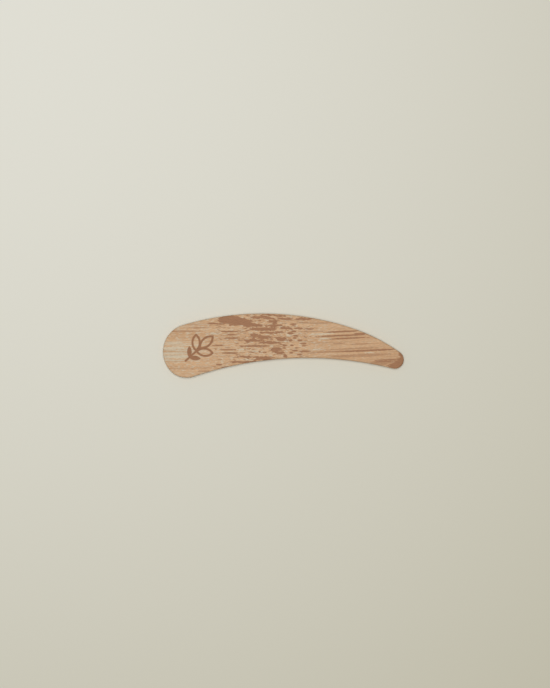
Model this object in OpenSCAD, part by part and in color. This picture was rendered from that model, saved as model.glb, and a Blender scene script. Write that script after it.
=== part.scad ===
// Curved bone folder: a one-piece bamboo blade that creases and burnishes folded paper.
// Millimetres. It lies on its flat underside with +Z up and the wide end towards -X.
// The origin is on the underside, below the middle of the blade's bounding box.

/* [Outline] */
// Overall length, from the wide end to the point
blade_length = 64; // [56:1:80]
// Radius of the rounded wide end
head_radius = 7.4; // [6.5:0.1:9]
// Radius of the corner where the wide end turns into the hollow edge
heel_radius = 5.9; // [4.5:0.1:7]
// Direction from the middle of the wide end towards that corner, in degrees
heel_angle = 221; // [205:1:240]
// Radius of the point
tip_radius = 2.4; // [1.9:0.1:3.2]
// How far the point hangs below the middle of the wide end
tip_drop = 2.1; // [0:0.1:5]
// Radius of the long humped edge
back_radius = 75; // [62:1:95]
// Radius of the humped edge where it runs down to the point
shoulder_radius = 49; // [40:1:60]
// Direction in which the humped edge passes from one radius to the other, in degrees
shoulder_angle = 71.5; // [66:0.5:76]
// Radius of the long hollow edge
belly_radius = 94; // [70:1:130]

/* [Thickness] */
// Thickness over the middle of the blade
blade_thickness = 2.8; // [2.3:0.1:4]
// Thickness that the wide end is sanded down to
head_thickness = 1.5; // [1:0.1:2.2]
// Length over which the wide end thins
head_taper = 11; // [6:0.5:18]
// Thickness that the point is sanded down to
tip_thickness = 1.7; // [1:0.1:2.2]
// Length over which the point thins
tip_taper = 10; // [5:0.5:16]

/* [Edges] */
// Radius of the rounded edge along the upper face
top_round = 0.4; // [0.3:0.05:1.2]
// Radius of the eased edge along the underside
bottom_round = 0.4; // [0.3:0.05:0.85]

/* [Engraved sprig] */
// Distance from the wide end to the middle of the sprig
sprig_from_end = 9.8; // [8:0.1:16]
// How far the middle of the sprig lies above the middle of the wide end
sprig_rise = 1; // [-1:0.1:3]
// Turn of the sprig from the blade's length, in degrees
sprig_turn = 42; // [0:1:180]
// Length of the stem
stem_length = 5.4; // [4.4:0.1:5.8]
// Length of the open leaf at the end of the stem
end_leaf = 5; // [3.6:0.1:5.4]
// Length of the two open side leaves
side_leaf = 4.6; // [3.2:0.1:5]
// How far down the stem the side leaves start
side_leaf_down = 1.5; // [1:0.1:2.2]
// Length of the two filled leaves
low_leaf = 2.9; // [1.8:0.1:3.2]
// How far down the stem the filled leaves start
low_leaf_down = 3.9; // [3:0.1:4.2]
// Angle between the stem and its leaves, in degrees
leaf_angle = 48; // [38:1:60]
// Width of an open leaf for each millimetre of its length
leaf_fullness = 0.5; // [0.4:0.05:0.6]
// Width of a filled leaf for each millimetre of its length
low_leaf_fullness = 0.36; // [0.25:0.01:0.45]
// Width of the burnt line
line_width = 0.45; // [0.3:0.05:0.6]
// Depth of the burnt line below the upper face
line_depth = 0.15; // [0.05:0.01:0.3]

/* [Smoothness] */
// Stations along the blade
stations = 48; // [24:4:72]
// Facets across each rounded edge
edge_facets = 4; // [2:1:6]

/* [Hidden] */
bamboo = [0.77, 0.63, 0.48];
leaf_fn = 96;

// ---- Outline: six arcs, each leaving the one before it without a corner ----

function polar(r, angle) = r * [cos(angle), sin(angle)];
function direction(from, to) = atan2(to.y - from.y, to.x - from.x);

// The centre that lies ra from a and rb from b, to the right of the line from a to b.
function centre_right_of(a, ra, b, rb) =
    let (d = norm(b - a), along = (ra^2 - rb^2 + d^2) / (2 * d), u = (b - a) / d)
    a + along * u + sqrt(ra^2 - along^2) * [u.y, -u.x];

head = [-blade_length / 2 + head_radius, 0];
tip = [blade_length / 2 - tip_radius, -tip_drop];
heel = head + polar(head_radius - heel_radius, heel_angle);
back_to_shoulder = polar(back_radius - shoulder_radius, shoulder_angle);
back = centre_right_of(head, back_radius - head_radius,
                       tip - back_to_shoulder, shoulder_radius - tip_radius);
shoulder = back + back_to_shoulder;
belly = centre_right_of(heel, belly_radius + heel_radius, tip, belly_radius + tip_radius);

// Directions in which the other neighbouring arcs meet.
head_angle = direction(back, head);
tip_angle = direction(shoulder, tip);
heel_end_angle = direction(heel, belly);
tip_end_angle = direction(tip, belly);

// The x at which an arc ends.
function end_x(centre, radius, angle) = centre.x + radius * cos(angle);

// Height of an arc at x; side is 1 for its upper half and -1 for its lower half.
function arc_y(centre, radius, x, side) =
    centre.y + side * sqrt(max(0, radius^2 - (x - centre.x)^2));

// The two long edges, moved in from the outline by inset.
function humped_y(x, inset) =
    x < end_x(back, back_radius - inset, head_angle) ? arc_y(head, head_radius - inset, x, 1) :
    x < end_x(back, back_radius - inset, shoulder_angle) ? arc_y(back, back_radius - inset, x, 1) :
    x < end_x(tip, tip_radius - inset, tip_angle) ?
        arc_y(shoulder, shoulder_radius - inset, x, 1) :
    arc_y(tip, tip_radius - inset, x, 1);

function hollow_y(x, inset) =
    x < end_x(head, head_radius - inset, heel_angle) ? arc_y(head, head_radius - inset, x, -1) :
    x < end_x(heel, heel_radius - inset, heel_end_angle) ? arc_y(heel, heel_radius - inset, x, -1) :
    x < end_x(tip, tip_radius - inset, tip_end_angle) ? arc_y(belly, belly_radius + inset, x, 1) :
    arc_y(tip, tip_radius - inset, x, -1);

// Stations crowd towards both ends, where the outline turns fastest.
function station_x(i, inset) = -(blade_length / 2 - inset) * cos(180 * i / stations);

// A closed ring: from the point along the humped edge, round the wide end and back.
ring_points = 2 * stations;
function ring(inset) = [
    for (j = [0 : ring_points - 1])
        let (x = station_x(abs(stations - j), inset))
        [x, j <= stations ? humped_y(x, inset) : hollow_y(x, inset)]
];

outline_y = [for (p = ring(0)) p.y];
middle_y = (max(outline_y) + min(outline_y)) / 2;

// ---- Thickness: both ends thin along a parabola that starts level with the middle ----

function thinned(end_thickness, share) =
    blade_thickness - (blade_thickness - end_thickness) * max(0, share)^2;

function thickness_at(x) = min(
    thinned(head_thickness, 1 - (x + blade_length / 2) / head_taper),
    thinned(tip_thickness, 1 - (blade_length / 2 - x) / tip_taper));

// Edge section from the underside to the upper face, as [inset, share of the thickness].
quarter = [for (i = [0 : edge_facets]) 90 * i / edge_facets];
eased_underside = [
    for (a = quarter) [bottom_round * (1 - sin(a)), bottom_round * (1 - cos(a)) / blade_thickness]
];
rounded_top = [
    for (a = quarter) [top_round * (1 - cos(a)), 1 - top_round * (1 - sin(a)) / blade_thickness]
];
edge_section = concat(eased_underside, rounded_top);

// ---- Blade: one ring for each point of the edge section, closed below and above ----

function at(level, j) = level * ring_points + j % ring_points;

// The face between two neighbouring stations, from one long edge to the other.
function strip(level, j) =
    j == 0 ? [at(level, 0), at(level, 1), at(level, -1 + ring_points)] :
    j == stations - 1 ? [at(level, j), at(level, j + 1), at(level, j + 2)] :
    [at(level, j), at(level, j + 1), at(level, ring_points - j - 1), at(level, ring_points - j)];

function turned_over(face) = [for (k = [len(face) - 1 : -1 : 0]) face[k]];

module blade_form() {
    last = len(edge_section) - 1;
    points = [
        for (step = edge_section, p = ring(step[0]))
            [p.x, p.y - middle_y, thickness_at(p.x) * step[1]]
    ];
    walls = [
        for (level = [0 : last - 1], j = [0 : ring_points - 1])
            [at(level, j), at(level + 1, j), at(level + 1, j + 1), at(level, j + 1)]
    ];
    underside = [for (j = [0 : stations - 1]) strip(0, j)];
    upper_face = [for (j = [0 : stations - 1]) turned_over(strip(last, j))];
    polyhedron(points, concat(walls, underside, upper_face));
}

// ---- Engraving ----

// A pointed leaf from the origin along +X: the lens that two equal circles share.
module leaf(length, width, inset = 0) {
    r = (length^2 + width^2) / (4 * width);
    intersection_for (side = [-1, 1])
        translate([length / 2, side * (r - width / 2)]) circle(r - inset, $fn = leaf_fn);
}

module open_leaf(length) {
    difference() {
        leaf(length, leaf_fullness * length);
        leaf(length, leaf_fullness * length, line_width);
    }
}

// A stem along X with an open leaf at its end, two open side leaves and two filled ones.
module sprig() {
    translate([-stem_length, -line_width / 2]) square([stem_length, line_width]);
    translate([-line_width, 0]) open_leaf(end_leaf);
    for (side = [-1, 1]) {
        translate([-side_leaf_down, 0]) rotate(side * leaf_angle) open_leaf(side_leaf);
        translate([-low_leaf_down, 0]) rotate(side * leaf_angle)
            leaf(low_leaf, low_leaf_fullness * low_leaf);
    }
}

// All that lies deeper than the burnt line, as a bar right across the blade.
module below_the_line() {
    floor_line = [
        for (i = [0 : stations])
            let (x = station_x(i, top_round)) [x, thickness_at(x) - line_depth]
    ];
    below = -blade_thickness;
    rotate([90, 0, 0])
        linear_extrude(blade_length, center = true)
            polygon(concat([[floor_line[0].x, below]], floor_line, [[floor_line[stations].x, below]]));
}

module engraved_sprig() {
    sprig_middle = [-blade_length / 2 + sprig_from_end, head.y + sprig_rise - middle_y];
    difference() {
        translate(sprig_middle)
            linear_extrude(2 * blade_thickness)
                rotate(sprig_turn)
                    translate([(stem_length - end_leaf) / 2, 0]) sprig();
        below_the_line();
    }
}

// One solid piece of bamboo, cut along the grain, with the sprig burnt into its upper face.
module folder_blade() {
    color(bamboo) difference() {
        blade_form();
        engraved_sprig();
    }
}

folder_blade();
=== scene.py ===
"""Curved bamboo folding blade: a sanded bamboo strip with a leaf sprig burnt into its wide end.

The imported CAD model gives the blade's place, length and thickness. The blade is drawn in plan,
sanded and burnt by a Geometry Nodes tree, and given a bamboo material that follows the same grain.
"""

import math

import bpy
import numpy as np
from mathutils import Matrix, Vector
from mathutils.geometry import delaunay_2d_cdt


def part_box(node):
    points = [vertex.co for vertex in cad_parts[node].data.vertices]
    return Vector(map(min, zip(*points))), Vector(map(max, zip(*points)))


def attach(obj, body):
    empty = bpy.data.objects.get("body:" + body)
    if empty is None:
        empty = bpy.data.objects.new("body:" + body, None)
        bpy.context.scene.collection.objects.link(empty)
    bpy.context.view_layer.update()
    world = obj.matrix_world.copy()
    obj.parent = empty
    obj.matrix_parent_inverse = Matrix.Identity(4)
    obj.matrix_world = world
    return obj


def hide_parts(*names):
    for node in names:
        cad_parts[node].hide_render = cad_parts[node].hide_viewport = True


bl_info = {
    "name": "Curved bamboo folding blade",
    "version": (1, 0, 0),
    "blender": (4, 5, 0),
    "location": "3D View > Sidebar > Folding blade",
    "description": "Makes a curved bamboo folding blade and the stage that it lies on",
    "category": "Object",
}

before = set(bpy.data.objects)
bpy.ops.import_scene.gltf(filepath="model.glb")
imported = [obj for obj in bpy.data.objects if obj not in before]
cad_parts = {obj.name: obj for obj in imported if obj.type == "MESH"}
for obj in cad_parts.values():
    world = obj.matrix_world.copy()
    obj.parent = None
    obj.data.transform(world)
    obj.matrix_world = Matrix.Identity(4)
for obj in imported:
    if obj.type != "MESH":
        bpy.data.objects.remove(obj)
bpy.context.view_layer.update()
CAD_NODE = "folder_blade"
BODY = "root"
LOW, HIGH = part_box(CAD_NODE)
MM = 0.001


# ---------------------------------------------------------------- settings


def distance(name, description, millimetres):
    """A size setting, given in millimetres and held in metres."""
    return bpy.props.FloatProperty(
        name=name, description=description, default=millimetres * MM, unit="LENGTH", precision=4
    )


def angle(name, description, degrees):
    return bpy.props.FloatProperty(
        name=name, description=description, default=math.radians(degrees), unit="ROTATION"
    )


def number(name, description, default):
    return bpy.props.FloatProperty(name=name, description=description, default=default)


def colour(name, description, default):
    """A colour setting, in linear red, green and blue."""
    return bpy.props.FloatVectorProperty(
        name=name, description=description, default=default, size=3, subtype="COLOR", min=0, max=1
    )


class BladeShape(bpy.types.PropertyGroup):
    """Sizes of the blade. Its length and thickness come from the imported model."""

    length: distance("Length", "From the wide end to the point", (HIGH.x - LOW.x) / MM)
    thickness: distance("Thickness", "Over the middle of the blade", (HIGH.z - LOW.z) / MM)
    head_radius: distance("Wide end radius", "Radius of the rounded wide end", 7.4)
    heel_radius: distance("Heel radius", "Corner between wide end and hollow edge", 5.9)
    heel_angle: angle("Heel direction", "From the middle of the wide end to the heel", 221)
    tip_radius: distance("Point radius", "Radius of the point", 2.4)
    tip_drop: distance("Point drop", "How far the point hangs below the wide end's middle", 2.1)
    back_radius: distance("Humped edge radius", "Radius of the long humped edge", 75)
    shoulder_radius: distance("Shoulder radius", "Humped edge where it runs to the point", 49)
    shoulder_angle: angle("Shoulder direction", "Where the humped edge changes radius", 71.5)
    belly_radius: distance("Hollow edge radius", "Radius of the long hollow edge", 94)
    head_thickness: distance("Wide end thickness", "What the wide end is sanded down to", 1.5)
    head_taper: distance("Wide end taper", "Length over which the wide end thins", 11)
    tip_thickness: distance("Point thickness", "What the point is sanded down to", 1.7)
    tip_taper: distance("Point taper", "Length over which the point thins", 10)
    top_round: distance("Upper edge rounding", "Radius of the edge along the upper face", 0.4)
    bottom_round: distance("Lower edge rounding", "Radius of the edge along the underside", 0.4)


class SprigShape(bpy.types.PropertyGroup):
    """Sizes of the leaf sprig that is burnt into the wide end."""

    from_end: distance("Distance from the end", "Wide end to the middle of the sprig", 9.8)
    rise: distance("Rise", "Middle of the sprig above the middle of the wide end", 1)
    turn: angle("Turn", "Turn of the sprig from the blade's length", 42)
    stem: distance("Stem", "Length of the stem", 5.4)
    end_leaf: distance("End leaf", "Length of the open leaf at the stem's end", 5)
    side_leaf: distance("Side leaves", "Length of the two open side leaves", 4.6)
    side_leaf_down: distance("Side leaves down", "How far down the stem they start", 1.5)
    low_leaf: distance("Low leaves", "Length of the two filled leaves", 2.9)
    low_leaf_down: distance("Low leaves down", "How far down the stem they start", 3.9)
    leaf_angle: angle("Leaf angle", "Angle between the stem and its leaves", 48)
    fullness: number("Leaf fullness", "Width of an open leaf over its length", 0.5)
    low_fullness: number("Low leaf fullness", "Width of a filled leaf over its length", 0.36)
    line_width: distance("Line width", "Width of the burnt line", 0.45)
    line_depth: distance("Line depth", "Depth of the burnt line", 0.15)
    wall: distance("Line wall", "How far the line's sides slope", 0.1)
    scorch: distance("Scorch", "How far the browned halo reaches past the line", 0.25)


class BambooFinish(bpy.types.PropertyGroup):
    """Colours and grain of the bamboo."""

    light: colour("Light wood", "Main colour between the fibres", (0.59, 0.375, 0.212))
    middle: colour("Middle wood", "Broad darker bands along the grain", (0.52, 0.305, 0.16))
    # At the wide end the pale colour is partly pale fibres and partly a painted highlight where the
    # thinned end catches the light.
    pale: colour("Pale fibres", "Bleached fibres, mostly at the wide end", (0.60, 0.54, 0.41))
    # The dark colour also paints the point's dark rim, which is partly painted shade.
    dark: colour("Dark fibres", "Fibre bundles and the node's marks", (0.34, 0.167, 0.083))
    burnt: colour("Burnt line", "Colour of the burnt sprig", (0.325, 0.158, 0.083))
    relief: distance("Fibre relief", "Height between soft wood and fibres", 0.02)
    bump: distance("Fine fibre relief", "Height of the fine grain in the finish", 0.03)
    bump_strength: number("Fine relief strength", "How strongly that relief shows", 0.6)
    fine_height: number("Fine grain height", "Share of that relief in the finest grain", 0.6)
    dark_depth: number("Dark fibre depth", "Share of that relief by which dark fibres sink", 0.5)
    band_tint: number("Band tint", "How far the bands turn light wood into middle wood", 0.7)
    scorch_tint: number("Scorch tint", "How far the halo round the line turns the wood dark", 0.35)
    tone: number("Tone", "Brightness before the fine grain adds to it", 0.55)
    silk_tone: number("Silk tone", "Brightness that the long fine grain adds", 0.3)
    fine_tone: number("Fine tone", "Brightness that the finest grain adds", 0.6)
    roughness: number("Roughness", "Roughness of the smoothest wood", 0.58)
    grain_roughness: number("Grain roughness", "Roughness that the finest grain adds", 0.16)
    burnt_roughness: number("Burnt roughness", "Roughness that the burnt line adds", 0.2)


class StageSetup(bpy.types.PropertyGroup):
    """Floor, light and camera."""

    # The two floor colours paint a pool of light: the first is the painted light, the second the
    # painted shade far from it.
    floor: colour("Floor", "Colour of the floor where it is lightest", (0.803, 0.80, 0.735))
    floor_painted_shade: colour("Far floor", "Colour of the floor where it is darkest", (0.495, 0.47, 0.355))
    floor_radius: distance("Floor radius", "Size of the floor", 1500)
    key_power: number("Key light", "Power of the softbox, in watts", 10.7)
    key_size: distance("Key light size", "Side of the softbox", 450)
    ambient: number("Ambient light", "Strength of the light from all round", 0.22)
    camera_height: distance("Camera height", "Height of the camera above the floor", 900)
    view_height: distance("View height", "Height of the picture at the blade", 182.9)
    aim_x: distance("Aim X", "What the camera looks down at", -2.22)
    aim_y: distance("Aim Y", "What the camera looks down at", 0.44)


# ---------------------------------------------------------------- node trees


class Value:
    """A number in a node tree. Arithmetic on it adds Math nodes."""

    def __init__(self, graph, socket):
        self.graph = graph
        self.socket = socket

    def math(self, operation, *others):
        node = self.graph.node("ShaderNodeMath", (self, *others), operation=operation)
        return Value(self.graph, node.outputs[0])

    def __add__(self, other):
        return self.math("ADD", other)

    def __sub__(self, other):
        return self.math("SUBTRACT", other)

    def __rsub__(self, other):
        return self.math("MULTIPLY_ADD", -1.0, other)

    def __mul__(self, other):
        return self.math("MULTIPLY", other)

    def __truediv__(self, other):
        return self.math("DIVIDE", other)

    def at_least(self, other):
        return self.math("MAXIMUM", other)

    def at_most(self, other):
        return self.math("MINIMUM", other)

    def root(self):
        return self.at_least(0.0).math("SQRT")

    def rises(self, low, high):
        """0 below low and 1 above high, with a smooth rise between them."""
        node = self.graph.node(
            "ShaderNodeMapRange",
            {"Value": self, "From Min": low, "From Max": high},
            interpolation_type="SMOOTHSTEP",
        )
        return Value(self.graph, node.outputs[0])

    def within(self, low, high, soft):
        """1 between low and high and 0 outside them, with soft edges."""
        return self.rises(low - soft, low + soft) * (1.0 - self.rises(high - soft, high + soft))


class Graph:
    """Adds nodes to a tree. A number, a vector, a socket or a Value can feed any input."""

    def __init__(self, tree):
        self.tree = tree

    def node(self, kind, inputs=(), **settings):
        """Adds a node. inputs are values in order, or a dict from an input's name to its value."""
        node = self.tree.nodes.new(kind)
        for name, setting in settings.items():
            setattr(node, name, setting)
        for key, value in inputs.items() if isinstance(inputs, dict) else enumerate(inputs):
            self.feed(node.inputs[key], value)
        return node

    def feed(self, target, value):
        if isinstance(value, Value):
            value = value.socket
        if isinstance(value, bpy.types.NodeSocket):
            self.tree.links.new(value, target)
        else:
            target.default_value = value

    def value(self, socket):
        return Value(self, socket)

    def parts(self, vector):
        """The X, Y and Z of a vector."""
        node = self.node("ShaderNodeSeparateXYZ", (vector,))
        return [self.value(socket) for socket in node.outputs]

    def vector(self, x=0.0, y=0.0, z=0.0):
        return self.node("ShaderNodeCombineXYZ", (x, y, z)).outputs[0]

    def noise(self, x, y, z, detail=2.0, roughness=0.5):
        node = self.node(
            "ShaderNodeTexNoise",
            {"Vector": self.vector(x, y, z), "Scale": 1.0, "Detail": detail, "Roughness": roughness},
        )
        return self.value(node.outputs[0])

    def mix(self, amount, first, second):
        """A colour between first and second."""
        node = self.node("ShaderNodeMix", data_type="RGBA")
        self.feed(node.inputs[0], amount)
        for socket, value in ((node.inputs[6], first), (node.inputs[7], second)):
            self.feed(socket, value if isinstance(value, bpy.types.NodeSocket) else (*value, 1.0))
        return node.outputs[2]


def geometry_tree(name, inputs):
    """A Geometry Nodes tree with one geometry input and named inputs, as (tree, graph, sockets)."""
    tree = bpy.data.node_groups.new(name, "GeometryNodeTree")
    tree.interface.new_socket("Geometry", in_out="OUTPUT", socket_type="NodeSocketGeometry")
    tree.interface.new_socket("Geometry", in_out="INPUT", socket_type="NodeSocketGeometry")
    for label, (kind, default) in inputs.items():
        socket = tree.interface.new_socket(label, in_out="INPUT", socket_type=kind)
        if default is not None:
            socket.default_value = default
    graph = Graph(tree)
    entry = graph.node("NodeGroupInput")
    sockets = {
        label: graph.value(entry.outputs[label]) if kind == "NodeSocketFloat" else entry.outputs[label]
        for label, (kind, _) in inputs.items()
    }
    sockets["Geometry"] = entry.outputs["Geometry"]
    return tree, graph, sockets


def close_tree(graph, geometry, material):
    """Ends a tree in plain geometry with the material set."""
    real = graph.node("GeometryNodeRealizeInstances", (geometry,)).outputs[0]
    shown = graph.node("GeometryNodeSetMaterial", {"Geometry": real, "Material": material})
    graph.node("NodeGroupOutput", (shown.outputs[0],))


def apply_tree(obj, tree, values):
    """Runs obj through a tree with the named inputs set, and keeps the result as a plain mesh."""
    modifier = obj.modifiers.new(tree.name, "NODES")
    modifier.node_group = tree
    for item in tree.interface.items_tree:
        if item.in_out == "INPUT" and item.name in values:
            modifier[item.identifier] = values[item.name]
    depsgraph = bpy.context.evaluated_depsgraph_get()
    made = bpy.data.meshes.new_from_object(obj.evaluated_get(depsgraph))
    obj.modifiers.remove(modifier)
    obj.data = made
    made.name = obj.name
    return obj


def new_object(name, mesh):
    obj = bpy.data.objects.new(name, mesh)
    bpy.context.scene.collection.objects.link(obj)
    return obj


# ---------------------------------------------------------------- outline in plan


def polar(radius, turn):
    return Vector((radius * math.cos(turn), radius * math.sin(turn)))


def direction(start, end):
    return math.atan2(end.y - start.y, end.x - start.x)


def centre_right_of(a, to_a, b, to_b):
    """The centre at distances to_a and to_b from a and b, to the right of the line from a to b."""
    gap = (b - a).length
    along = (to_a**2 - to_b**2 + gap**2) / (2 * gap)
    ahead = (b - a) / gap
    return a + along * ahead + math.sqrt(to_a**2 - along**2) * Vector((ahead.y, -ahead.x))


class Outline:
    """The blade's outline: six arcs, each leaving the one before it without a corner."""

    def __init__(self, shape):
        self.head = Vector((-shape.length / 2 + shape.head_radius, 0))
        tip = Vector((shape.length / 2 - shape.tip_radius, -shape.tip_drop))
        heel = self.head + polar(shape.head_radius - shape.heel_radius, shape.heel_angle)
        to_shoulder = polar(shape.back_radius - shape.shoulder_radius, shape.shoulder_angle)
        back = centre_right_of(
            self.head,
            shape.back_radius - shape.head_radius,
            tip - to_shoulder,
            shape.shoulder_radius - shape.tip_radius,
        )
        shoulder = back + to_shoulder
        belly = centre_right_of(
            heel,
            shape.belly_radius + shape.heel_radius,
            tip,
            shape.belly_radius + shape.tip_radius,
        )
        tip_start = direction(tip, belly)
        tip_end = direction(shoulder, tip)
        head_start = direction(back, self.head)
        heel_end = direction(heel, belly) + 2 * math.pi
        # Each arc is its centre, its radius, which way an inset changes it, and its two ends.
        self.arcs = [
            (tip, shape.tip_radius, -1, tip_start, tip_end),
            (shoulder, shape.shoulder_radius, -1, tip_end, shape.shoulder_angle),
            (back, shape.back_radius, -1, shape.shoulder_angle, head_start),
            (self.head, shape.head_radius, -1, head_start, shape.heel_angle),
            (heel, shape.heel_radius, -1, shape.heel_angle, heel_end),
            (belly, shape.belly_radius, 1, heel_end - math.pi, tip_start + math.pi),
        ]
        edge = self.ring(0, MM / 10)
        self.middle_y = (edge[:, 1].max() + edge[:, 1].min()) / 2

    def ring(self, inset, step, sharpest=math.radians(4)):
        """Points round the outline, moved in by inset and about a step apart, anticlockwise."""
        points = []
        for centre, radius, inward, start, end in self.arcs:
            sweep = abs(end - start)
            count = max(2, math.ceil(max(sweep * radius / step, sweep / sharpest)))
            turns = start + (end - start) * np.arange(count) / count
            reach = radius + inward * inset
            points.append(
                np.column_stack(
                    [centre.x + reach * np.cos(turns), centre.y + reach * np.sin(turns)]
                )
            )
        return np.concatenate(points)


def rows_inside(ring, along, across):
    """Points inside a closed ring, in rows along the grain. Every other row is shifted half a step."""
    start, end = ring, np.roll(ring, -1, axis=0)
    rows = np.arange(ring[:, 1].min() + across / 2, ring[:, 1].max(), across)
    found = []
    for index, y in enumerate(rows):
        crossing = (start[:, 1] <= y) != (end[:, 1] <= y)
        a, b = start[crossing], end[crossing]
        xs = np.sort(a[:, 0] + (y - a[:, 1]) * (b[:, 0] - a[:, 0]) / (b[:, 1] - a[:, 1]))
        for left, right in zip(xs[::2], xs[1::2]):
            first = math.ceil(left / along) + index % 2 / 2
            row = np.arange(first * along, right, along)
            found.append(np.column_stack([row, np.full(len(row), y)]))
    return np.concatenate(found)


def fill_ring(ring, inner):
    """Triangles over a closed ring with loose points inside it, as indices into both together."""
    points = [Vector(p) for p in np.concatenate([ring, inner])]
    around = list(range(len(ring)))
    found = delaunay_2d_cdt(points, [], [around], 1, 1e-9)
    source = [ids[0] for ids in found[3]]
    return [tuple(source[corner] for corner in face) for face in found[2]]


# ---------------------------------------------------------------- blade


ROUND_STEPS = 9
RIM_STEP = 0.3 * MM
SPRIG_ROOM = 6.1 * MM  # the upper face has its fine mesh this far round the sprig's middle
# Spacing of the loose points on the two faces, along the grain and across it.
UPPER_STEPS = (0.26 * MM, 0.13 * MM)
SPRIG_STEPS = (0.1 * MM, 0.09 * MM)
UNDERSIDE_STEPS = (0.4 * MM, 0.2 * MM)
LEAF_STATIONS = 49
UPPER_FACE = (0.98, 1.0)  # share of the thickness over which a point comes to count as the face


def edge_section(shape):
    """The edge from the underside to the upper face, as (inset, share of the thickness)."""
    quarter = np.linspace(0, math.pi / 2, ROUND_STEPS)
    low, high = shape.bottom_round, shape.top_round
    eased = [(low * (1 - math.sin(a)), low * (1 - math.cos(a)) / shape.thickness) for a in quarter]
    rounded = [
        (high * (1 - math.cos(a)), 1 - high * (1 - math.sin(a)) / shape.thickness) for a in quarter
    ]
    return eased + rounded


def blade_plan(shape, outline, sprig_middle):
    """The blade before sanding: a mesh whose points know their share of the blade's thickness."""
    section = edge_section(shape)
    rings = [outline.ring(inset, RIM_STEP) for inset, _ in section]
    around = len(rings[0])
    shares = [share for _, share in section]

    upper_room = outline.ring(section[-1][0] + RIM_STEP / 2, RIM_STEP)
    lower_room = outline.ring(section[0][0] + RIM_STEP / 2, RIM_STEP)
    coarse = rows_inside(upper_room, *UPPER_STEPS)
    fine = rows_inside(upper_room, *SPRIG_STEPS)
    coarse_near, fine_near = [
        np.hypot(*(points - sprig_middle).T) < SPRIG_ROOM for points in (coarse, fine)
    ]
    upper = np.concatenate([coarse[~coarse_near], fine[fine_near]])
    lower = rows_inside(lower_room, *UNDERSIDE_STEPS)

    faces = []
    for level in range(len(rings) - 1):
        here, above = level * around, (level + 1) * around
        for j in range(around):
            k = (j + 1) % around
            faces.append((here + j, here + k, above + k, above + j))
    top_ring, free = (len(rings) - 1) * around, len(rings) * around

    def placed(face, ring_start, inner_start):
        return tuple(
            ring_start + i if i < around else inner_start + i - around for i in face
        )

    faces += [placed(f, top_ring, free) for f in fill_ring(rings[-1], upper)]
    faces += [placed(f, 0, free + len(upper))[::-1] for f in fill_ring(rings[0], lower)]

    plan = np.concatenate([*rings, upper, lower]) - [0, outline.middle_y]
    mesh = bpy.data.meshes.new("blade_plan")
    mesh.from_pydata(np.column_stack([plan, np.zeros(len(plan))]).tolist(), [], faces)
    share = np.concatenate([np.repeat(shares, around), np.ones(len(upper)), np.zeros(len(lower))])
    mesh.attributes.new("height_share", "FLOAT", "POINT").data.foreach_set("value", share)
    return mesh


def leaf_band(graph, leaf_length, leaf_width, line_width):
    """A pointed leaf from the origin along +X, as a band, or filled if line_width is None."""
    radius = (leaf_length * leaf_length + leaf_width * leaf_width) / (leaf_width * 4.0)
    flat = graph.node("GeometryNodeMeshGrid", {"Size X": leaf_length, "Size Y": 1.0})
    flat.inputs["Vertices X"].default_value = LEAF_STATIONS
    flat.inputs["Vertices Y"].default_value = 2
    x, side, _ = graph.parts(graph.node("GeometryNodeInputPosition").outputs[0])

    def half_width(reach):
        return (reach * reach - x * x).root() - (radius - leaf_width / 2.0)

    outer = half_width(radius)
    inner = half_width(radius - line_width).at_least(0.0) if line_width is not None else 0.0
    across = (outer - inner) * (side + 0.5) + inner
    place = graph.vector(x + leaf_length / 2.0, across)
    upper = graph.node("GeometryNodeSetPosition", {"Geometry": flat.outputs[0], "Position": place})
    lower = graph.node(
        "GeometryNodeTransform", {"Geometry": upper.outputs[0], "Scale": (1.0, -1.0, 1.0)}
    )
    both = graph.node("GeometryNodeJoinGeometry")
    for half in (upper, lower):
        graph.feed(both.inputs[0], half.outputs[0])
    return both.outputs[0]


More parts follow.
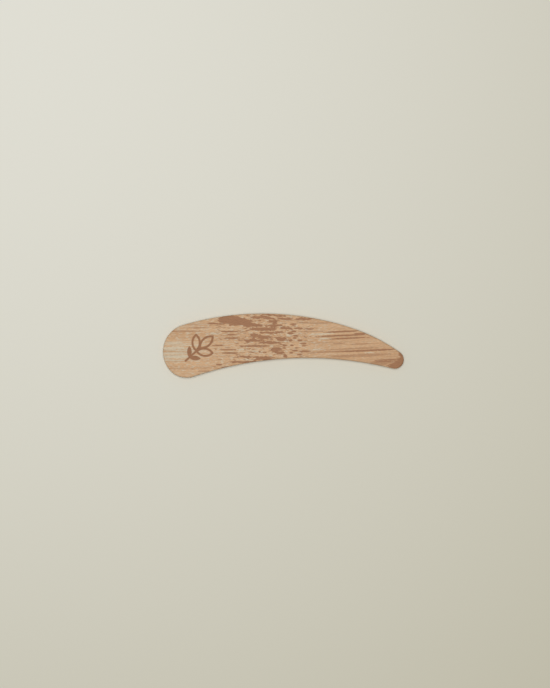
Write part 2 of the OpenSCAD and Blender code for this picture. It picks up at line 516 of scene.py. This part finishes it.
def sprig_tree():
    """Draws the flat pattern that the burner follows: a stem, an end leaf and two pairs of leaves."""
    lengths = (
        "Stem", "End leaf", "Side leaf", "Side leaf down", "Low leaf", "Low leaf down", "Line width"
    )
    inputs = {label: ("NodeSocketFloat", 0.001) for label in lengths}
    inputs |= {label: ("NodeSocketFloat", 0.5) for label in ("Fullness", "Low fullness")}
    inputs |= {label: ("NodeSocketFloat", 0.0) for label in ("Leaf angle", "Turn")}
    inputs["Middle"] = ("NodeSocketVector", None)
    inputs["Material"] = ("NodeSocketMaterial", None)
    tree, graph, given = geometry_tree("Leaf sprig", inputs)
    line = given["Line width"]

    def pair(leaf, down):
        """One leaf on each side of the stem."""
        points = graph.node("GeometryNodeMeshLine", {"Count": 2, "Offset": (0.0, 0.0, 0.0)})
        side = graph.value(graph.node("GeometryNodeInputIndex").outputs[0]) * 2.0 - 1.0
        placed = graph.node(
            "GeometryNodeInstanceOnPoints",
            {
                "Points": points.outputs[0],
                "Instance": leaf,
                "Rotation": graph.vector(z=side * given["Leaf angle"]),
            },
        )
        moved = graph.node(
            "GeometryNodeTransform",
            {"Geometry": placed.outputs[0], "Translation": graph.vector(x=down * -1.0)},
        )
        return moved.outputs[0]

    stem = graph.node("GeometryNodeMeshGrid", {"Size X": given["Stem"], "Size Y": line})
    stem = graph.node(
        "GeometryNodeTransform",
        {"Geometry": stem.outputs[0], "Translation": graph.vector(x=given["Stem"] * -0.5)},
    )
    end_leaf = leaf_band(graph, given["End leaf"], given["End leaf"] * given["Fullness"], line)
    end_leaf = graph.node(
        "GeometryNodeTransform", {"Geometry": end_leaf, "Translation": graph.vector(x=line * -1.0)}
    )
    side_leaf = leaf_band(graph, given["Side leaf"], given["Side leaf"] * given["Fullness"], line)
    low_leaf = leaf_band(graph, given["Low leaf"], given["Low leaf"] * given["Low fullness"], None)

    sprig = graph.node("GeometryNodeJoinGeometry")
    pieces = (
        stem.outputs[0],
        end_leaf.outputs[0],
        pair(side_leaf, given["Side leaf down"]),
        pair(low_leaf, given["Low leaf down"]),
    )
    for piece in pieces:
        graph.feed(sprig.inputs[0], piece)
    centred = graph.node(
        "GeometryNodeTransform",
        {
            "Geometry": sprig.outputs[0],
            "Translation": graph.vector(x=(given["Stem"] - given["End leaf"]) / 2.0),
        },
    )
    turned = graph.node(
        "GeometryNodeTransform",
        {
            "Geometry": centred.outputs[0],
            "Translation": given["Middle"],
            "Rotation": graph.vector(z=given["Turn"]),
        },
    )
    close_tree(graph, turned.outputs[0], given["Material"])
    return tree


def sanding_tree():
    """Gives the plan its height, thins its ends, burns the sprig into it and raises its fibres."""
    lengths = (
        "Length", "Thickness", "Head thickness", "Head taper", "Tip thickness", "Tip taper",
        "Line depth", "Line wall", "Scorch", "Relief",
    )
    inputs = {label: ("NodeSocketFloat", 0.001) for label in lengths}
    inputs["Sprig"] = ("NodeSocketObject", None)
    inputs["Material"] = ("NodeSocketMaterial", None)
    tree, graph, given = geometry_tree("Sanded and burnt blade", inputs)

    place = graph.node("GeometryNodeInputPosition").outputs[0]
    x, _, _ = graph.parts(place)
    share = graph.node("GeometryNodeInputNamedAttribute", {"Name": "height_share"}, data_type="FLOAT")
    share = graph.value(share.outputs[0])

    def thinned(end_thickness, from_end, taper):
        left = (1.0 - from_end / taper).at_least(0.0)
        return given["Thickness"] - (given["Thickness"] - end_thickness) * left * left

    thickness = thinned(
        given["Head thickness"], x + given["Length"] / 2.0, given["Head taper"]
    ).at_most(thinned(given["Tip thickness"], given["Length"] / 2.0 - x, given["Tip taper"]))
    sprig = graph.node("GeometryNodeObjectInfo", {"Object": given["Sprig"]})
    nearest = graph.node(
        "GeometryNodeProximity",
        {"Geometry": sprig.outputs["Geometry"], "Sample Position": place},
        target_element="FACES",
    )
    gap = graph.value(nearest.outputs["Distance"])
    face = share.rises(*UPPER_FACE)
    burn = (1.0 - gap.rises(0.0, given["Line wall"])) * face
    scorch = (1.0 - gap.rises(0.0, given["Scorch"])) * face

    stored = given["Geometry"]
    for name, amount in (("burn", burn), ("scorch", scorch)):
        stored = graph.node(
            "GeometryNodeStoreNamedAttribute",
            {"Geometry": stored, "Name": name, "Value": amount},
            data_type="FLOAT",
            domain="POINT",
        ).outputs[0]
    height = thickness * share - burn * given["Line depth"]
    formed = graph.node(
        "GeometryNodeSetPosition", {"Geometry": stored, "Offset": graph.vector(z=height)}
    )
    solid_place = graph.node("GeometryNodeInputPosition").outputs[0]
    grain = bamboo_grain(graph, solid_place, (1.0 - share) * given["Thickness"])
    normal = graph.node("GeometryNodeInputNormal").outputs[0]
    sunk = grain["dark"] * (1.0 - burn) * given["Relief"] * -1.0
    push = graph.node("ShaderNodeVectorMath", {0: normal, "Scale": sunk}, operation="SCALE")
    raised = graph.node(
        "GeometryNodeSetPosition", {"Geometry": formed.outputs[0], "Offset": push.outputs[0]}
    )
    close_tree(graph, raised.outputs[0], given["Material"])
    return tree


# ---------------------------------------------------------------- bamboo


# Marks that lie along the grain. Each is where it starts and ends along the blade, how far it
# lies above the blade's middle, and its thickness, in millimetres on the straightened grain.
STAIN = ((-17, -11.4, 6.95, 2.1), (-14.8, -9.4, 6.45, 1.7))
NODE_MARKS = (
    (-11.6, -8, 5.95, 1.3), (-10, -6, 5.5, 0.7), (-14, -10, 5.55, 0.4),
    (-8.5, -4.2, 7.5, 0.5), (-4.9, 0, 8, 0.35), (-5.3, -2.7, 7.1, 0.45), (-3.9, -1.7, 6.5, 0.55),
    (-3.1, -1.8, 5.8, 0.6), (-1.2, 2.2, 7.2, 0.6), (-4.2, -0.8, 5.3, 0.5), (-8, -2.9, 4.5, 0.6),
    (-5.3, -0.8, 3.55, 0.55), (-8.5, -7, 2.6, 1.1), (-6.7, -3.6, 2.2, 0.7), (-10.6, -6.2, 1.4, 0.5),
    (-1.9, 0.6, 2, 0.9), (-5.8, -1, 0.75, 0.6), (-3.2, -0.8, -1.05, 0.9),
    (-1.9, 0.1, -1.95, 0.6), (-11.7, -8.5, -3.05, 0.35), (-7.4, -3.2, -3.35, 1.05),
    (-13.8, -8.2, -4.35, 0.4), (3.6, 7.1, 7.15, 0.55), (-0.5, 1.9, 4.6, 0.7), (3.2, 5, 4.6, 0.5),
)
DASHES = (
    (-20.1, -17.4, 5.9, 0.4), (-16.4, -12.4, 3.75, 0.38), (-15.7, -12, 2, 0.38),
    (-16.1, -12.2, -1.95, 0.38), (-16.4, -13.8, -5.75, 0.42), (5.6, 8.1, 4.45, 0.35),
    (4.5, 7.1, -1.5, 0.35), (-11.3, -4, -0.1, 0.45), (-15.2, -12.5, 2.9, 0.34),
    (-18.7, -15.8, 0.1, 0.32), (-16.9, -12.6, -1.1, 0.32), (-17.8, -16.3, -5, 0.36),
    (-17.6, -15.8, 5.75, 0.36),
)
BUNDLE_ENDS = (
    (1.4, 2.4, 1.4, 0.45), (1.8, 2.7, 0.1, 0.45), (2.5, 3.8, -1.3, 0.45), (1.6, 2.5, -1.9, 0.4),
    (3.7, 4.9, -2.35, 0.4), (3.7, 5, 1.4, 0.4), (4.5, 6.1, 0.55, 0.4), (5.1, 6, 0, 0.35),
    (-0.2, 0.9, 0, 0.45), (-0.8, 0.2, -1.8, 0.5), (0, 1, -2.8, 0.7), (4.4, 5.3, -1.55, 0.35),
    (-0.2, 0.7, -0.6, 0.4), (2.1, 3.4, 3.8, 0.5), (1.1, 2.5, 3.3, 0.55), (2.7, 3.9, 2.6, 0.4),
    (2.6, 3.4, 2.05, 0.4), (1.8, 3.4, 5.7, 0.4),
)
LONG_FIBRES = (
    (11, 20.2, 3.4, 0.4), (9.5, 21.6, 2.35, 0.4), (12.8, 22, 1.55, 0.35), (19, 22.2, 2.65, 0.38),
    (15.4, 30, -1.93, 0.42), (24.6, 30.6, -4.65, 0.3), (23.4, 30, -5.05, 0.3),
    # These two are the dark point: partly darker wood, partly painted shade of its rounding that faces
    # away from the light.
    (29.5, 33.5, -5.9, 2.9), (27.8, 33.4, -6.4, 1.4),
)
FAINT_FIBRES = (
    (-29.4, -22.2, 3.85, 0.4), (-24.9, -20.3, 4.75, 0.35), (-22.5, -19.4, -6.75, 0.4),
    (4.7, 11, 3.75, 0.35), (7.5, 12.9, 5.9, 0.38), (4.9, 7.1, 6.05, 0.4), (7.3, 17, -1.8, 0.38),
    (12.7, 24.2, -1.25, 0.35), (13.4, 27.9, -3.15, 0.65), (23.3, 28, -5.8, 0.5),
    (13.2, 16.4, 0.3, 0.35), (18, 23.4, -0.1, 0.35), (22.6, 30, -5.4, 0.4),
)
PALE_FIBRES = (
    (7.7, 13, 3, 0.4), (9.4, 12.5, 1.75, 0.45), (0.8, 2.2, 2.7, 0.6), (0.2, 1.4, 1.2, 0.45),
    (-12.4, -9.4, -1.05, 0.4), (-8.8, -5.4, -1.6, 0.4), (7.4, 10.5, -1.1, 0.4),
    (-11, -7.4, -3.7, 0.35), (21.8, 24.2, -2.5, 0.25), (-19.5, -17, 3.2, 0.5),
    # These five at the wide end are partly pale fibres and partly a painted highlight on the thinned
    # end.
    (-33, -25.5, -0.7, 0.8), (-33, -25, -2.05, 0.5), (-32.5, -24.5, -2.9, 0.75),
    (-32, -26.5, 0.75, 0.4), (-31.5, -25.5, -3.95, 0.3),
)
MARK_EDGE = (-0.18, -0.08)  # a mark starts 1.18 half sizes from its middle and is full at 1.08

# Places and sizes from here on are millimetres on the straightened grain too.
GRAIN_BEND = 8.0  # where the grain starts to rise towards the point
GRAIN_SLOPE = 0.045  # how far it rises in each millimetre from there
UPPER_LAYER = 0.98  # the layer of the pattern that the upper face shows
MARK_FADE = 0.4  # how much of its size a mark loses in each millimetre below the upper face
SIDE_DEPTH = (0.0, 0.5)  # depth over which the pattern changes to that of the sides
NODE_WANDER = 1.1  # how far the node's marks are pushed across the grain
# The point's dark rim is partly darker end grain and partly painted shade where the rounded point
# faces away from the light.
TIP_CENTRE = (29.6, -5.2)
TIP_GRAIN_AND_SHADE_RIM = (1.75, 2.05)  # distance from TIP_CENTRE at which the point darkens
TIP_START = (30.2, 31.0)

# Stretches that a pattern keeps to: its start, its end and how soft both are.
NODE_BEND = (-11.0, 5.0, 2.5)
NODE_PATCHES = (-11.5, -1.0, 1.5)
SPECKLED = (-20.0, 9.0, 3.0)
STREAKED_ACROSS = (-6.0, 1.8, 1.5)
# Stretches over which a pattern grows or dies away.
# The pale streaks, partly a painted highlight on the thinned wide end, die away over this first
# stretch.
STREAKS_END = (-26.0, -17.0)
FIBRES_GROW = (4.0, 12.0)
FLECKS_THIN = (8.0, 16.0)


def along_grain(graph, x, y, marks, ragged):
    """Marks along the grain: 1 on a mark and 0 off it, with ragged edges."""
    place = graph.vector(x, y)
    nearest = None
    for start, end, height, thickness in marks:
        per_mark = Vector((2 / (end - start), 2 / thickness, 0))
        middle = Vector(((start + end) / 2, height, 0))
        from_middle = graph.node(
            "ShaderNodeVectorMath",
            {0: place, 1: per_mark, 2: -middle * per_mark},
            operation="MULTIPLY_ADD",
        )
        away = graph.node("ShaderNodeVectorMath", (from_middle.outputs[0],), operation="LENGTH")
        away = graph.value(away.outputs["Value"])
        nearest = away if nearest is None else nearest.at_most(away)
    return (1.0 - nearest + ragged).rises(*MARK_EDGE)


def bamboo_grain(graph, place, depth):
    """The bamboo's pattern at a place, depth metres below the upper face, as values from 0 to 1. It
    includes painted shade at the point and a painted highlight at the wide end.
    """
    scaled = graph.node("ShaderNodeVectorMath", {0: place, "Scale": 1 / MM}, operation="SCALE")
    x, y, _ = graph.parts(scaled.outputs[0])
    y = y - (x - GRAIN_BEND).at_least(0.0) * GRAIN_SLOPE
    depth = depth / MM
    z = UPPER_LAYER - depth
    fade = depth * MARK_FADE
    side = depth.rises(*SIDE_DEPTH)

    def wood_noise(length, width, shift=0.0, across=y, **settings):
        """Noise drawn out along the grain. shift makes it another pattern of the same kind."""
        return graph.noise(x / length, across / width + shift, z / width, **settings)

    ragged = wood_noise(0.9, 0.2) - 0.5
    wander = wood_noise(4.0, 1.6, detail=1.0) - 0.5
    node_y = y + wander * x.within(*NODE_BEND) * NODE_WANDER
    broken = wood_noise(1.7, 0.5, shift=7.0, across=node_y, roughness=0.6)

    # Each kind of mark has its own raggedness, against its size. Thin ones fade twice as fast.
    dark = along_grain(graph, x, y, STAIN, ragged * 0.7 - fade)
    node_edge = ragged * 2.4 + broken * 2.8 - 1.2 - fade
    dark = dark.at_least(along_grain(graph, x, node_y, NODE_MARKS, node_edge))
    thin_marks = (*DASHES, *BUNDLE_ENDS, *LONG_FIBRES)
    dark = dark.at_least(along_grain(graph, x, y, thin_marks, ragged * 1.3 - fade * 2.0))
    # Dark rim round the point: partly darker end grain, partly painted shade.
    tip_x, tip_y = x - TIP_CENTRE[0], y - TIP_CENTRE[1]
    point_grain_and_shade = (tip_x * tip_x + tip_y * tip_y).root() + ragged * 0.9
    dark = dark.at_least(point_grain_and_shade.rises(*TIP_GRAIN_AND_SHADE_RIM) * x.rises(*TIP_START))
    faint = along_grain(graph, x, y, FAINT_FIBRES, ragged * 1.6 - fade * 2.0) * 0.55

    # Broken patches over the node, between the larger marks.
    patches = (broken + ragged * 0.25) * x.within(*NODE_PATCHES)
    dark = dark.at_least(patches.rises(0.585, 0.61))

    # Short specks between the marks, and long thin fibres that grow stronger towards the point.
    specks = wood_noise(1.3, 0.27, shift=41.0, detail=1.0).rises(0.61, 0.66)
    specks = specks * x.within(*SPECKLED) * 0.75
    fibres = wood_noise(16.0, 0.3, shift=3.0, detail=1.0).rises(0.60, 0.70)
    fibres = fibres * (x.rises(*FIBRES_GROW) * 0.2 + 0.2)
    dark = dark.at_least(faint).at_least(fibres).at_least(specks * (1.0 - side * 0.7))

    # Long strands one over the other, seen only from the side.
    strands = graph.noise(x / 9.0, y / 1.5, depth / 0.2, detail=1.0)
    dark = dark.at_least(strands.rises(0.55, 0.66) * side * 0.5)

    # Broad darker bands. The pale streaks, flecks and fibres fade on the sides, and the bands don't.
    bands = wood_noise(40.0, 1.4).rises(0.42, 0.62)
    # Pale streaks at the wide end only: partly pale fibres, partly a painted highlight where the
    # thinned end catches the light.
    streak_and_highlight_zone = (1.0 - x.rises(*STREAKS_END)) * (y.within(*STREAKED_ACROSS) * 0.75 + 0.25)
    wide_end_streaks_and_highlight = wood_noise(60.0, 0.38, shift=11.0, detail=1.0).rises(0.54, 0.60) * streak_and_highlight_zone
    flecks = wood_noise(1.3, 0.24, shift=17.0).rises(0.54, 0.60)
    flecks = flecks * (1.0 - x.rises(*FLECKS_THIN) * 0.6)
    pale = (wide_end_streaks_and_highlight * 0.8).at_least(flecks * 0.6)
    bleached = along_grain(graph, x, y, PALE_FIBRES, ragged * 2.6 + broken - 0.6)
    pale = pale.at_least(bleached * 0.7) * (1.0 - side * 0.8)

    silk = wood_noise(9.0, 0.24, shift=23.0)
    fine = wood_noise(0.7, 0.17)
    return {"dark": dark, "bands": bands, "pale": pale, "silk": silk, "fine": fine}


def bamboo_material(finish, thickness):
    """Bamboo in object coordinates: grain, node marks, burnt line and the relief of the fibres."""
    material = bpy.data.materials.new("sanded_bamboo")
    material.use_nodes = True
    material.node_tree.nodes.clear()
    graph = Graph(material.node_tree)
    place = graph.node("ShaderNodeTexCoord").outputs["Object"]

    def attribute(name):
        return graph.value(graph.node("ShaderNodeAttribute", attribute_name=name).outputs["Fac"])

    grain = bamboo_grain(graph, place, (1.0 - attribute("height_share")) * thickness)
    burn, scorch = attribute("burn"), attribute("scorch")
    tint = graph.mix(grain["bands"] * finish.band_tint, finish.light, finish.middle)
    # Pale fibres, and at the wide end a painted highlight.
    tint = graph.mix(grain["pale"], tint, finish.pale)
    # Dark fibres and marks, and painted shade at the point.
    tint = graph.mix(grain["dark"], tint, finish.dark)
    tint = graph.mix(scorch * finish.scorch_tint, tint, finish.dark)
    tint = graph.mix(burn, tint, finish.burnt)
    brightness = grain["silk"] * finish.silk_tone + grain["fine"] * finish.fine_tone + finish.tone
    tone = graph.node("ShaderNodeHueSaturation", {"Color": tint, "Value": brightness})
    height = grain["fine"] * finish.fine_height - grain["dark"] * finish.dark_depth
    bump = graph.node(
        "ShaderNodeBump",
        {"Height": height, "Distance": finish.bump, "Strength": finish.bump_strength},
    )
    added_roughness = grain["fine"] * finish.grain_roughness + burn * finish.burnt_roughness
    shader = graph.node(
        "ShaderNodeBsdfPrincipled",
        {
            "Base Color": tone.outputs[0],
            "Roughness": added_roughness + finish.roughness,
            "Specular IOR Level": 0.3,
            "Normal": bump.outputs[0],
        },
    )
    graph.node("ShaderNodeOutputMaterial", {"Surface": shader.outputs[0]})
    return material


class FOLDER_OT_make_blade(bpy.types.Operator):
    """Makes the bamboo blade: one solid strip, sanded, with a leaf sprig burnt into it"""

    bl_idname = "folder.make_blade"
    bl_label = "Make the blade"

    def execute(self, context):
        shape, mark = context.scene.blade_shape, context.scene.sprig_shape
        finish = context.scene.bamboo_finish
        material = bamboo_material(finish, shape.thickness)
        outline = Outline(shape)
        middle = Vector((-shape.length / 2 + mark.from_end, outline.head.y + mark.rise))

        sprig = new_object("sprig_pattern", bpy.data.meshes.new("sprig_pattern"))
        apply_tree(
            sprig,
            sprig_tree(),
            {
                "Stem": mark.stem,
                "End leaf": mark.end_leaf,
                "Side leaf": mark.side_leaf,
                "Side leaf down": mark.side_leaf_down,
                "Low leaf": mark.low_leaf,
                "Low leaf down": mark.low_leaf_down,
                "Line width": mark.line_width - mark.wall,
                "Fullness": mark.fullness,
                "Low fullness": mark.low_fullness,
                "Leaf angle": mark.leaf_angle,
                "Turn": mark.turn,
                "Middle": (middle.x, middle.y - outline.middle_y, 0.0),
            },
        )
        blade = new_object("bamboo_blade", blade_plan(shape, outline, np.array(middle)))
        apply_tree(
            blade,
            sanding_tree(),
            {
                "Length": shape.length,
                "Thickness": shape.thickness,
                "Head thickness": shape.head_thickness,
                "Head taper": shape.head_taper,
                "Tip thickness": shape.tip_thickness,
                "Tip taper": shape.tip_taper,
                "Line depth": mark.line_depth,
                "Line wall": mark.wall,
                "Scorch": mark.scorch,
                "Relief": finish.relief,
                "Sprig": sprig,
                "Material": material,
            },
        )
        bpy.data.objects.remove(sprig)
        blade.data.shade_smooth()
        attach(blade, BODY)
        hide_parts(CAD_NODE)
        return {"FINISHED"}


# ---------------------------------------------------------------- stage


FLOOR_SIDES = 64
FLOOR_GAP = 0.01 * MM  # keeps the floor clear of the underside, so that the two faces don't mix
# Painted pool of light on the floor: lightest round this point, painted darker out to the distance
# below.
FLOOR_PAINTED_LIGHT_CENTRE = (-100 * MM, 117 * MM, 0)
FLOOR_PAINTED_LIGHT_REACH = 400 * MM  # distance from there at which the floor is darkest
KEY_PLACE = (-40 * MM, 40 * MM, 1200 * MM)


def floor_material(setup):
    """A pale matt floor with a painted pool of light: lightest behind the wide end and painted a
    little darker away from there.
    """
    material = bpy.data.materials.new("floor")
    material.use_nodes = True
    graph = Graph(material.node_tree)
    place = graph.node("ShaderNodeTexCoord").outputs["Object"]
    away = graph.node("ShaderNodeVectorMath", (place, FLOOR_PAINTED_LIGHT_CENTRE), operation="DISTANCE")
    away = graph.value(away.outputs["Value"])
    # The floor's colour fades from painted light to painted shade with distance.
    tint = graph.mix(away.rises(0.0, FLOOR_PAINTED_LIGHT_REACH), setup.floor, setup.floor_painted_shade)
    shader = material.node_tree.nodes["Principled BSDF"]
    graph.feed(shader.inputs["Base Color"], tint)
    shader.inputs["Roughness"].default_value = 0.9
    shader.inputs["Specular IOR Level"].default_value = 0.2
    return material


def make_floor(setup):
    turns = [2 * math.pi * i / FLOOR_SIDES for i in range(FLOOR_SIDES)]
    rim = [(*polar(setup.floor_radius, turn), 0.0) for turn in turns]
    mesh = bpy.data.meshes.new("floor")
    mesh.from_pydata(rim, [], [tuple(range(len(rim)))])
    mesh.materials.append(floor_material(setup))
    floor = new_object("floor", mesh)
    floor.location.z = -FLOOR_GAP


def make_key_light(setup):
    light = bpy.data.lights.new("key", "AREA")
    light.energy = setup.key_power
    light.size = setup.key_size
    light.color = (1.0, 0.99, 0.97)
    lamp = new_object("key", light)
    lamp.location = KEY_PLACE
    lamp.rotation_mode = "QUATERNION"
    lamp.rotation_quaternion = (-lamp.location).to_track_quat("-Z", "Y")


def make_world(setup):
    world = bpy.data.worlds.new("studio")
    world.use_nodes = True
    background = world.node_tree.nodes["Background"]
    background.inputs["Color"].default_value = (1.0, 0.98, 0.95, 1)
    background.inputs["Strength"].default_value = setup.ambient
    bpy.context.scene.world = world


def make_camera(setup, focus_height):
    """A long lens straight above the blade, so that nothing leans."""
    data = bpy.data.cameras.new("camera")
    data.sensor_width = 36
    data.lens = data.sensor_width * (setup.camera_height - focus_height) / setup.view_height
    data.clip_start, data.clip_end = 0.01, 10
    camera = new_object("camera", data)
    camera.location = (setup.aim_x, setup.aim_y, setup.camera_height)
    bpy.context.scene.camera = camera


class FOLDER_OT_set_stage(bpy.types.Operator):
    """Sets the pale floor, the soft light and the camera above the blade"""

    bl_idname = "folder.set_stage"
    bl_label = "Set the stage"

    def execute(self, context):
        setup = context.scene.stage_setup
        make_floor(setup)
        make_key_light(setup)
        make_world(setup)
        make_camera(setup, HIGH.z / 2)
        context.scene.view_settings.view_transform = "Standard"
        return {"FINISHED"}


# ---------------------------------------------------------------- add-on


class FOLDER_PT_panel(bpy.types.Panel):
    """Lists the operators and the settings"""

    bl_idname = "FOLDER_PT_panel"
    bl_label = "Folding blade"
    bl_space_type = "VIEW_3D"
    bl_region_type = "UI"
    bl_category = "Folding blade"

    def draw(self, context):
        for operator in OPERATORS:
            self.layout.operator(operator.bl_idname)
        for name in SETTINGS:
            group = getattr(context.scene, name)
            box = self.layout.box()
            box.label(text=name.replace("_", " ").capitalize())
            for setting in group.bl_rna.properties.keys():
                if setting not in ("rna_type", "name"):
                    box.prop(group, setting)


SETTINGS = {
    "blade_shape": BladeShape,
    "sprig_shape": SprigShape,
    "bamboo_finish": BambooFinish,
    "stage_setup": StageSetup,
}
OPERATORS = (FOLDER_OT_make_blade, FOLDER_OT_set_stage)


def register():
    for cls in (*SETTINGS.values(), *OPERATORS, FOLDER_PT_panel):
        bpy.utils.register_class(cls)
    for name, group in SETTINGS.items():
        setattr(bpy.types.Scene, name, bpy.props.PointerProperty(type=group))


def unregister():
    for name in SETTINGS:
        delattr(bpy.types.Scene, name)
    for cls in (FOLDER_PT_panel, *OPERATORS, *SETTINGS.values()):
        bpy.utils.unregister_class(cls)


def main():
    register()
    bpy.ops.folder.make_blade()
    bpy.ops.folder.set_stage()


if __name__ == "__main__":
    main()
